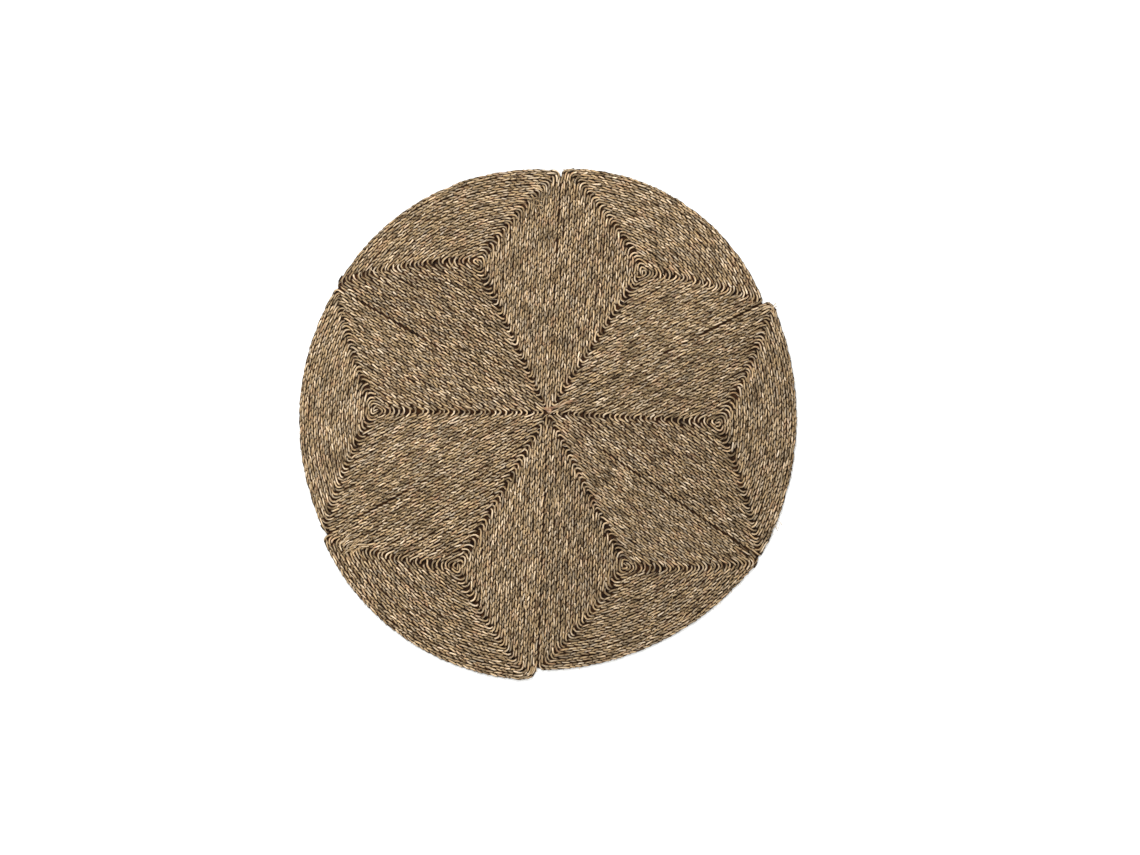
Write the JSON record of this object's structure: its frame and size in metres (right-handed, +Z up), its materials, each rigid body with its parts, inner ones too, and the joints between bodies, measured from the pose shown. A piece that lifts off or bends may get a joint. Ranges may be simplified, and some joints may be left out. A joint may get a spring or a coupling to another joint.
{
  "type": "seagrass rug",
  "caption": "Round, flat rug of plaited seagrass: sector panels, each coiled in three-cornered rows round its own eye, sewn together along seams that meet at a hub.",
  "frame": {"origin": "on the surface that the rug lies on, under the middle of its length and width", "axes": "+Z up out of the ribbed face, +Y along the longest extent, towards the seam between the two upper panels"},
  "size_m": [1.4754, 1.5196, 0.009],
  "materials": {
    "seagrass": "dry plaited seagrass, straw to olive brown, matt"
  },
  "bodies": {
    "root": {"panel_right": "seagrass", "panel_upper_right": "seagrass", "panel_upper_left": "seagrass", "panel_left": "seagrass", "panel_lower_left": "seagrass", "panel_lower_right": "seagrass"}
  },
  "joints": []
}
